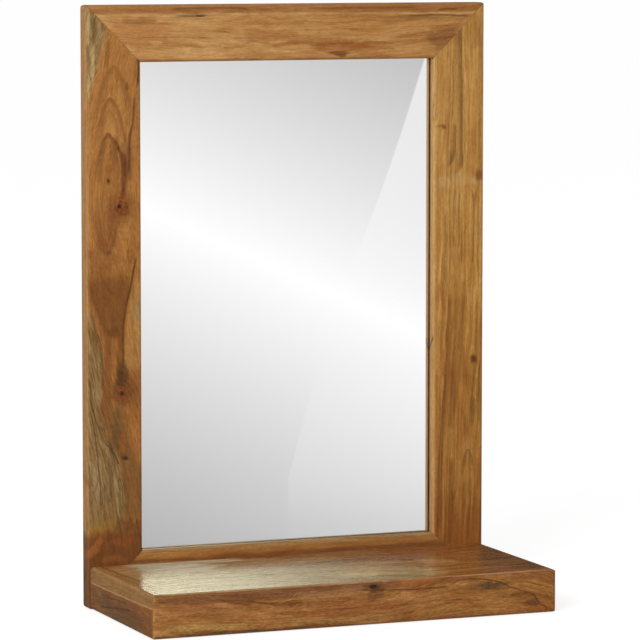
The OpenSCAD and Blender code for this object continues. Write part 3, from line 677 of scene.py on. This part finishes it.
def shelf_top():
    """Glossy, with a pale band that is partly pale wood and partly painted reflection of bright light,
    and a lighter strip along its left edge.
    """
    board = Board("shelf_top", "XYZ", 5)
    centre = [(-250, -300), (0, -290), (120, -310), (250, -300)]
    depth = [(-250, 560), (0, 566), (250, 560)]
    board.grain(centre, depth, [(118, -65, 5, 2.5)], 7, 9)
    board.base(RED_HEARTWOOD, bands=0.3, clouds=0.35, streaks=0.35, streak_size=(64, 4),
               cloud_size=(70, 22), trend=[(-250, 0.1), (-150, 0.02), (250, 0)])
    # Pale and dark areas, the near-white ones painted highlight, then long streaks
    board.area([(-238, -232), (-100, -233), (40, -228), (120, -215)],
               [(-238, -40), (-100, -95), (40, -140), (120, -170)], 0.5, rgb(184, 164, 108), 12, 16)
    board.area([(-215, -100), (-140, -120), (40, -130)], [(-215, -24), (-140, -26), (40, -50)], 0.6,
               rgb(170, 142, 100), 9, 22)
    # A painted highlight where the bright light reflects
    board.spot(-166, -64, 46, 44, 0.95, rgb(200, 190, 162))
    board.spot(-218, -58, 16, 34, 0.7, rgb(184, 134, 80))
    board.spot(-80, -150, 34, 16, 0.6, rgb(132, 108, 66))
    board.spot(72, -174, 18, 11, 0.6, rgb(104, 80, 52))
    board.spot(-38, -90, 30, 10, 0.5, rgb(134, 90, 62))
    board.spot(0, -150, 150, 12, 0.3, OLIVE)
    board.spot(150, -60, 60, 40, 0.45, rgb(132, 74, 34))
    board.spot(230, -120, 40, 120, 0.5, UMBER)
    board.spot(60, -160, 70, 42, 0.5, rgb(200, 158, 100))
    # A painted highlight where the bright light reflects
    board.spot(-138, -66, 42, 26, 0.85, rgb(216, 206, 180))
    board.spot(2, -100, 46, 16, 0.5, rgb(112, 84, 46))
    board.spot(24, -187, 40, 18, 0.8, rgb(214, 182, 122))
    board.spot(84, -104, 30, 14, 0.5, rgb(120, 82, 40))
    board.spot(138, -134, 25, 30, 0.6, rgb(182, 134, 86))
    # A painted highlight where the bright light reflects
    board.area([(-205, -46), (-70, -42)], [(-205, -10), (-70, -10)], 0.85, rgb(210, 196, 160), 4, 14)
    board.area([(0, -52), (112, -52)], [(0, -10), (112, -10)], 0.6, rgb(156, 118, 78), 6, 20)
    board.spot(50, -88, 70, 16, 0.6, rgb(104, 72, 38))
    board.stripe([(-132, -56), (-95, -58), (-58, -59)], 2.4, 0.7, DARK)
    board.stripe([(-36, -42), (0, -48), (60, -50), (110, -54)], 5, 0.6, rgb(112, 88, 54))
    board.stripe([(40, -104), (76, -113), (125, -126), (168, -142)], 13, 0.9, rgb(182, 136, 82))
    board.stripe([(60, -188), (90, -196), (128, -207)], 12, 0.7, rgb(184, 146, 94))
    board.stripe([(20, -225), (50, -226), (90, -222)], 4, 0.6, rgb(164, 124, 94))
    board.stripe([(-236, -150), (-180, -146), (-120, -150), (-60, -140)], 6, 0.6, rgb(116, 96, 56))
    board.stripe([(-200, -196), (-140, -200), (-60, -190), (20, -196)], 6, 0.6, rgb(124, 100, 58))
    board.stripe([(-210, -110), (-150, -104), (-90, -110)], 6, 0.5, rgb(120, 92, 52))
    board.knot(118, -65, 3.4, 1.4, RED, DARK)
    board.shade(0.25, 1.3, 0.5, 1)
    # The strip along the left edge, and its dark line
    toward = board.place["Y"] * -1
    reach = curve(toward, [(20, -235), (70, -233), (130, -228), (170, -228.5), (205, -234), (236, -244)])
    beside = board.place["X"] - reach + board.swirl * 2
    fine = noise(board.point, (1.6, 40, 3), 5.4, 3)
    strip = ramp(fine, [(0.3, rgb(134, 94, 48)), (0.7, rgb(172, 130, 76))])
    board.tint(smooth(beside, 0.8, -0.8), strip)
    board.tint(smooth(beside.size(), 2.4, 0.4) * 0.75, rgb(100, 64, 28))
    board.finish(0.26, gloss=0.5, detail=None, waves=2.4)


def shelf_front():
    """A dark band along the top, a knot on the left of it and a lens-shaped ring on the right."""
    board = Board("shelf_front", "XZY", 6)
    centre = [(-250, -640), (-90, -646), (60, -640), (155, -632), (250, -650)]
    depth = [(-250, 235), (-85, 240), (20, 238), (155, 232), (250, 238)]
    board.grain(centre, depth, [(18, -567, 7, 1.8), (152, -572, 5, 3.4)], 5.5, 7)
    board.base(HEARTWOOD, bands=0.26, clouds=0.54, streaks=0.16, cloud_size=(44, 9), streak_size=(26, 2),
               mottle=0.65, trend=[(-248, 0.03), (0, -0.02), (60, 0.01), (248, -0.02)])
    # Light streaks near the foot, then the band along the top
    board.spot(-205, -575, 30, 11, 0.4, rgb(160, 96, 50))
    board.spot(-190, -600, 60, 4.5, 0.6, rgb(184, 144, 74))
    board.spot(-20, -601, 90, 4, 0.5, rgb(172, 132, 68))
    board.spot(-160, -607, 90, 2, 0.7, rgb(96, 74, 36))
    board.area([(-244, -569), (-200, -572.5), (-110, -573), (-30, -571), (56, -569)],
               [(-244, -550), (56, -550)], 0.62, rgb(102, 60, 34), 2, 5)
    board.area([(66, -568), (140, -566), (250, -574)], [(66, -550), (250, -550)], 0.3,
               rgb(112, 64, 34), 3)
    board.area([(-72, -574.5), (-20, -574.5), (8, -573.5)], [(-72, -569), (-20, -567), (8, -566.5)],
               0.45, rgb(170, 120, 72), 1.5)
    # Dark spots, then the lines round the knot and the ring
    board.spot(70, -566, 34, 6, 0.6, RED)
    board.spot(0, -590, 70, 9, 0.4, RED)
    board.spot(20, -575, 12, 8, 0.6, UMBER)
    board.spot(166, -574, 24, 4.4, 0.8, rgb(94, 70, 44))
    board.spot(217, -598, 15, 5.5, 0.7, rgb(88, 54, 26))
    board.spot(218, -604, 30, 5, 0.6, RED)
    board.stripe([(-245, -561.5), (0, -561.5), (245, -561.5)], 1.2, 0.35, DARK)
    board.stripe([(-170, -569), (-150, -574), (-128, -577)], 3, 0.75, RUST)
    board.stripe([(-140, -572), (-115, -576), (-98, -578)], 2, 0.7, rgb(96, 52, 22))
    board.stripe([(-96, -577), (-84, -575), (-75, -568), (-50, -567)], 1.3, 0.45, HONEY, 6)
    board.stripe([(-2, -569), (60, -572), (112, -572)], 1.9, 0.7, DARK)
    board.stripe([(116, -571), (135, -564.5), (160, -567), (180, -573), (188, -577)], 1.5, 0.8, DARK, 6)
    board.stripe([(126, -573), (160, -578), (188, -578)], 1.4, 0.7, UMBER, 6)
    board.stripe([(183, -576), (210, -585), (230, -600), (240, -609)], 1.8, 0.7, DARK)
    board.stripe([(196, -574), (220, -580), (246, -596)], 1.5, 0.5, UMBER)
    board.stripe([(-60, -585), (20, -590), (90, -588), (150, -590)], 1.5, 0.45, UMBER)
    board.stripe([(108, -604), (160, -601), (187, -607)], 1.3, 0.5, HONEY)
    board.knot(17, -567, 4, 1.7, UMBER, DARK, 0.6)
    board.spot(16, -566.5, 5, 2.4, 0.9, BLACK)
    # The left half is a little bluer
    board.tint(smooth(board.u, 160, 20), (1.05, 1.07, 1.26, 1), "MULTIPLY")
    board.finish(detail=(0.3, 0.85, 0.75, 1.4))


def shelf_left_end():
    """Dark, with a light band along its top."""
    board = Board("shelf_left_end", "YZX", 7)
    centre = [(-235, -652), (-150, -646), (-60, -650), (-22, -652)]
    depth = [(-235, 262), (-140, 258), (-22, 263)]
    board.grain(centre, depth, [], 5.5, 7)
    board.base(RED_HEARTWOOD, bands=0.3, clouds=0.3, cloud_size=(34, 9),
               trend=[(-235, -0.06), (-22, -0.08)])
    board.spot(-120, -604, 90, 9, 0.5, rgb(118, 94, 56))
    board.spot(-60, -590, 40, 10, 0.5, rgb(100, 80, 48))
    board.spot(-150, -598, 90, 20, 0.6, rgb(98, 70, 42))
    edge = curve(board.place["Y"], [(-235, -574.5), (-120, -576.5), (-22, -577.5)])
    above = board.place["Z"] - edge + board.swirl * 1.2
    board.tint(smooth(above, -0.8, 0.8) * (board.swirl * 1.2 + 0.72), rgb(154, 115, 66))
    board.tint(smooth((above + 0.5).size(), 1.4, 0.3) * 0.5, PALE)
    board.stripe([(-165, -588), (-130, -592), (-100, -596), (-58, -600)], 2.2, 0.7, DARK)
    board.stripe([(-150, -582), (-110, -584), (-60, -586)], 1.6, 0.5, DARK)
    board.spot(-212, -599, 6, 3, 0.8, RUST)
    board.spot(-195, -606, 14, 4, 0.5, OLIVE)
    beside_frame = (board.place["Y"] - (FRAME_FRONT - 4)).size()
    board.tint(smooth(beside_frame, 3, 0.8) * 0.6, rgb(130, 108, 70))
    board.tint(smooth(board.place["Y"] - SHELF_FRONT, 5, 0.5) * 0.6, rgb(112, 92, 54))
    board.finish(0.4)


def shelf_right_end():
    """Plain wood with a knot. The photograph doesn't show it."""
    board = Board("shelf_right_end", "YZX", 8)
    centre = [(-235, -625), (-120, -640), (-22, -630)]
    depth = [(-235, -230), (-120, -220), (-22, -236)]
    board.grain(centre, depth, [(-90, -590, 5, 2.2)], 5.5, 7)
    board.base(HEARTWOOD)
    board.knot(-90, -590, 3.6, 1.3, RED, DARK)
    board.finish(0.4)


def shelf_bottom():
    """Light wood with a knot."""
    board = Board("shelf_bottom", "XYZ", 9)
    board.grain([(-250, -80), (250, -160)], [(-250, 612), (250, 622)], [(90, -150, 7, 2.2)], 6, 9)
    board.base(LIGHT_HEARTWOOD)
    board.knot(90, -150, 5, 1.3, RED, DARK)
    board.finish(0.55)


def shelf_back_rail():
    """Light wood, out of sight."""
    board = Board("shelf_back_rail", "XZY", 10)
    board.grain([(-250, -640), (250, -630)], [(-250, 40), (250, 52)], [], 6, 9)
    board.base(LIGHT_HEARTWOOD)
    board.finish(0.6)


def bead(name, axes, seed):
    """A strip of light, unfinished wood."""
    board = Board(name, axes, seed)
    board.grain([(-600, 300), (300, 310)], [(-600, 40), (300, 60)], [], 6, 8)
    board.base(LIGHT_HEARTWOOD, bands=0.3)
    board.finish(0.6)


def beech(name, axes, seed):
    """Pressed or turned beech: pale, with short darker flecks."""
    material, shader, place = new_material(name + "_beech")
    u, v, w = (place[axis] for axis in axes)
    point = joined(u, v, w)
    fibres = noise(point, (20, 0.7, 0.7), seed, 3.0)
    flecks = smooth(noise(point, (2.6, 0.35, 0.9), seed + 0.5, 1.0), 0.64, 0.74)
    colour = ramp(fibres, [(0.3, rgb(196, 158, 112)), (0.7, rgb(226, 192, 148))])
    colour = blend(colour, flecks * 0.5, rgb(160, 112, 72))
    surface(shader, colour, fibres * 0.2 + 0.5, fibres, depth=0.0001, strength=0.4)
    wear(name, material)


# -------------------- glass, board, metal


def mirror_glass():
    """Clear glass with a greenish rim and a silvered back face. It touches the coat, so the silver is
    laid on both."""
    material, shader, place = new_material("mirror_glass_clear")
    beside = smooth(place["X"].size(), GLASS_SIDE - RIM_STARTS, GLASS_SIDE - RIM_FULL)
    beyond = smooth((place["Z"] - GLASS_MIDDLE).size(), GLASS_END - RIM_STARTS, GLASS_END - RIM_FULL)
    colour = ramp(either(beside, beyond), [(0.0, rgb(254, 254, 254)), (1.0, rgb(214, 238, 226))])
    silvered = smooth(place["Y"], GLASS_BACK - 0.04, GLASS_BACK - 0.01)
    feed(shader.inputs["Base Color"], blend(colour, silvered, SILVER))
    feed(shader.inputs["Metallic"], silvered)
    feed(shader.inputs["Roughness"], 0.0)
    feed(shader.inputs["IOR"], 1.5)
    feed(shader.inputs["Transmission Weight"], 1.0)
    wear("mirror_glass", material)


def silver_coat():
    """Bright silver on the side of the glass, grey paint behind it."""
    material, shader, place = new_material("silver_coat_metal")
    mottle = noise(joined(*place.values()), (3, 3, 3), 4.4, 3.0)
    grey = ramp(mottle, [(0.3, rgb(104, 106, 108)), (0.7, rgb(124, 126, 128))])
    paint = smooth(place["Y"], GLASS_BACK + 0.08, GLASS_BACK + 0.12)
    feed(shader.inputs["Base Color"], blend(grey, 1.0 - paint, SILVER))
    feed(shader.inputs["Metallic"], 1.0 - paint)
    feed(shader.inputs["Roughness"], paint * 0.55)
    wear("silver_coat", material)


def backing_board():
    """Hardboard with its screen-marked side to the back."""
    material, shader, place = new_material("hardboard")
    point = joined(*place.values())
    wool = noise(point, (2.2, 2.2, 2.2), 3.3, 4.0, 0.65)
    clouds = noise(point, (60, 60, 60), 6.1)
    across = (place["X"] * SCREEN_WAVES).math("SINE")
    down = (place["Z"] * SCREEN_WAVES).math("SINE")
    screen = (across * down) * 0.5 + 0.5
    tone = wool * 0.7 + clouds * 0.3 + screen * 0.16 - 0.08
    colour = ramp(tone, [(0.3, rgb(84, 60, 40)), (0.5, rgb(112, 82, 56)), (0.68, rgb(140, 106, 76))])
    surface(shader, colour, wool * 0.2 + 0.65, screen + wool * 0.8, depth=0.0003, strength=0.6)
    wear("backing_board", material)


def zinc(name, seed, dull):
    """Bright zinc plate with fine scratches and a trace of yellow passivation."""
    material, shader, place = new_material(name + "_zinc")
    point = joined(*place.values())
    scratches = noise(point, (6, 0.6, 0.5), seed, 3.0, 0.6)
    clouds = noise(point, (7, 7, 7), seed + 1.0)
    colour = ramp(clouds, [(0.3, rgb(196, 196, 188)), (0.55, rgb(214, 215, 214)),
                           (0.75, rgb(222, 214, 190))])
    colour = blend(colour, smooth(scratches, 0.42, 0.3) * 0.4, rgb(150, 150, 148))
    surface(shader, colour, scratches * 0.3 + dull, scratches, depth=0.00004, strength=0.4)
    feed(shader.inputs["Metallic"], 1.0)
    wear(name, material)


# -------------------- camera, light and floor


def camera():
    """The photograph's camera. Its shift gives the photograph's framing."""
    data = bpy.data.cameras.new("camera")
    data.sensor_width = SENSOR_WIDTH
    data.lens = FOCAL_PIXELS * SENSOR_WIDTH / IMAGE_SIDE
    data.shift_x = (IMAGE_SIDE / 2 - CENTRE_PIXEL[0]) / IMAGE_SIDE
    data.shift_y = (CENTRE_PIXEL[1] - IMAGE_SIDE / 2) / IMAGE_SIDE
    data.clip_end = CAMERA_REACH
    eye = bpy.data.objects.new("camera", data)
    eye.location = CAMERA_AT
    eye.rotation_euler = (math.pi / 2 - CAMERA_PITCH, 0.0, -CAMERA_YAW)
    SCENE.collection.objects.link(eye)
    SCENE.camera = eye


def dot(direction, vector):
    """How much of a direction points along a vector."""
    node = add(direction.tree, "VectorMath", direction, vector, operation="DOT_PRODUCT")
    return Field(direction.tree, node.outputs["Value"])


def place_on_screen(direction):
    """How far ahead of the camera a direction points once the mirror turns it round, and its pixel."""
    sin_yaw, cos_yaw = math.sin(CAMERA_YAW), math.cos(CAMERA_YAW)
    sin_pitch, cos_pitch = math.sin(CAMERA_PITCH), math.cos(CAMERA_PITCH)
    ahead = dot(direction, (sin_yaw * cos_pitch, -cos_yaw * cos_pitch, -sin_pitch))
    right = dot(direction, (cos_yaw, sin_yaw, 0.0))
    up = dot(direction, (sin_yaw * sin_pitch, -cos_yaw * sin_pitch, cos_pitch))
    near = ahead.math("MAXIMUM", 0.2)
    x = right / near * FOCAL_PIXELS + CENTRE_PIXEL[0]
    y = up / near * -FOCAL_PIXELS + CENTRE_PIXEL[1]
    return ahead, x, y


def mirror_screen(x, y):
    """What the photograph's mirror shows: a slanting band of light, and a wedge on its right."""
    band = (y - x * BAND_SLOPE - BAND_START).size()
    glow = BAND_PEAK - band * BAND_FALL
    edge = curve(y, [(60, 424), (160, 392), (330, 330), (480, 288)])
    strength = curve(y, [(60, 0.68), (110, 0.62), (206, 0.46), (266, 0.26), (330, 0.06), (430, 0.18),
                         (520, 0.04)])
    wedge = smooth(x - edge, -1.2, 1.2) * strength
    glow = glow + (WEDGE_PEAK - glow).math("MAXIMUM", 0.0) * wedge
    return glow.math("MAXIMUM", SCREEN_LEAST).math("POWER", SCREEN_GAMMA) * SCREEN_LIGHT


def room(direction):
    """The same pale slanting bands all round, wider, but dim for the shelf and for what faces left."""
    sweep = (dot(direction, ROOM_SLANT) * 2.4 + 0.2).math("PINGPONG", 1.0)
    light = ROOM_LIGHT - sweep * ROOM_BANDS
    for_shelf = smooth(dot(direction, BY_SHELF_AND_MIRROR), 0.955, 0.975)
    for_sides = smooth(dot(direction, BY_LEFT_SIDES), 0.78, 0.92)
    light = light + (DIM_LIGHT - light) * either(for_shelf, for_sides)
    behind = smooth(dot(direction, BY_SHELF), 0.84, 0.92)
    return light + (BEHIND_LIGHT - light) * behind


def window(ahead, x, y):
    """A bright window, high on the left of what the mirror shows to the shelf."""
    across = curve(x, [(-260, 0.0), (0, 1.0), (190, 1.0), (280, 0.37), (340, 0.11), (390, -0.08),
                       (520, -0.12), (700, 0.0)])
    return across * smooth(y, 40.0, -220.0) * smooth(y, -1700.0, -1100.0) * smooth(ahead, 0.6, 0.8)


def studio():
    """White behind the object, plain soft light on it, and pale screens for mirror and sheen to show."""
    world = bpy.data.worlds.new("studio")
    SCENE.world = world
    tree = empty_tree(world)
    background = add(tree, "Background")
    tree.links.new(background.outputs[0], add(tree, "OutputWorld").inputs["Surface"])
    direction = Field(tree, add(tree, "TexCoord").outputs["Generated"])

    ahead, x, y = place_on_screen(direction)
    pane = window(ahead, x, y)
    around = room(direction) + pane * WINDOW_LIGHT
    shown = around + (mirror_screen(x, y) - around) * smooth(ahead, 0.983, 0.991)

    rays = add(tree, "LightPath")
    glossy = Field(tree, rays.outputs["Is Glossy Ray"])
    mirrored = either(glossy, Field(tree, rays.outputs["Is Transmission Ray"]))
    light = (shown - SOFT_LIGHT) * mirrored + SOFT_LIGHT
    light = (WHITE - light) * Field(tree, rays.outputs["Is Camera Ray"]) + light
    feed(background.inputs["Strength"], light)
    tinted = pane * smooth(ahead, 0.991, 0.983) * mirrored
    paper = ramp(tinted, [(0.0, rgb(255, 255, 255)), (0.5, rgb(250, 255, 226))])
    feed(background.inputs["Color"], paper)


def key_light():
    """A large soft lamp before the object, high on its left."""
    lamp = bpy.data.lights.new("key_light", "AREA")
    lamp.shape = "SQUARE"
    lamp.size = KEY_LIGHT_SIDE
    lamp.energy = KEY_LIGHT_POWER
    key = bpy.data.objects.new("key_light", lamp)
    key.location = KEY_LIGHT_AT
    x, y, z = (aim - start for aim, start in zip(KEY_LIGHT_AIM, KEY_LIGHT_AT))
    key.rotation_euler = (math.atan2(math.hypot(x, y), -z), 0.0, math.atan2(y, x) - math.pi / 2)
    SCENE.collection.objects.link(key)


def hide_from_mirrors(thing):
    """Keeps an object out of mirrored and refracted rays."""
    thing.visible_glossy = False
    thing.visible_transmission = False


def floor():
    """A pale floor that keeps a soft shadow. It can't be seen from below."""
    half = FLOOR_SIDE / 2
    mesh = bpy.data.meshes.new("floor")
    corners = [(x, y, FLOOR_HEIGHT)
               for x, y in ((-half, -half), (half, -half), (half, half), (-half, half))]
    mesh.from_pydata(corners, [], [(0, 1, 2, 3)])
    ground = bpy.data.objects.new("floor", mesh)
    SCENE.collection.objects.link(ground)
    material = bpy.data.materials.new("floor_white")
    tree = empty_tree(material)
    paint = add(tree, "BsdfDiffuse", (FLOOR_PAINT, FLOOR_PAINT, FLOOR_PAINT, 1.0))
    seen = Field(tree, add(tree, "LightPath").outputs["Is Camera Ray"])
    glow = add(tree, "Emission")
    feed(glow.inputs["Strength"], seen * FLOOR_GLOW)
    both = add(tree, "AddShader")
    clear = add(tree, "BsdfTransparent")
    side = add(tree, "MixShader")
    tree.links.new(paint.outputs[0], both.inputs[0])
    tree.links.new(glow.outputs[0], both.inputs[1])
    tree.links.new(add(tree, "NewGeometry").outputs["Backfacing"], side.inputs[0])
    tree.links.new(both.outputs[0], side.inputs[1])
    tree.links.new(clear.outputs[0], side.inputs[2])
    tree.links.new(side.outputs[0], add(tree, "OutputMaterial").inputs["Surface"])
    mesh.materials.append(material)
    hide_from_mirrors(ground)


SCENE.view_settings.view_transform = "Standard"
camera()
studio()
key_light()
floor()

left_stile()
right_stile()
top_rail()
bottom_rail()
shelf_top()
shelf_front()
shelf_left_end()
shelf_right_end()
shelf_bottom()
shelf_back_rail()
bead("bead_left", "ZXY", 11)
bead("bead_right", "ZXY", 12)
bead("bead_top", "XZY", 13)
bead("bead_bottom", "XZY", 14)
beech("frame_biscuits", "XZY", 15)
beech("glue_blocks", "XZY", 16)
beech("shelf_biscuits", "XYZ", 17)
beech("shelf_dowels", "YXZ", 18)
mirror_glass()
silver_coat()
backing_board()
zinc("bead_pins", 19, 0.2)
zinc("shelf_screws", 20, 0.2)
zinc("bottom_screws", 21, 0.22)
zinc("hanger_plate_left", 22, 0.16)
zinc("hanger_plate_right", 23, 0.16)
zinc("hanger_screws", 24, 0.2)

# The photograph's mirror shows no shelf, so the shelf and what is inside it stay out of reflections.
# The coat stays out too: it touches the glass's silvered face, and light would be caught between them
for name, node in NODES.items():
    if name.startswith("shelf_") or name in ("glue_blocks", "bottom_screws", "silver_coat"):
        hide_from_mirrors(node)
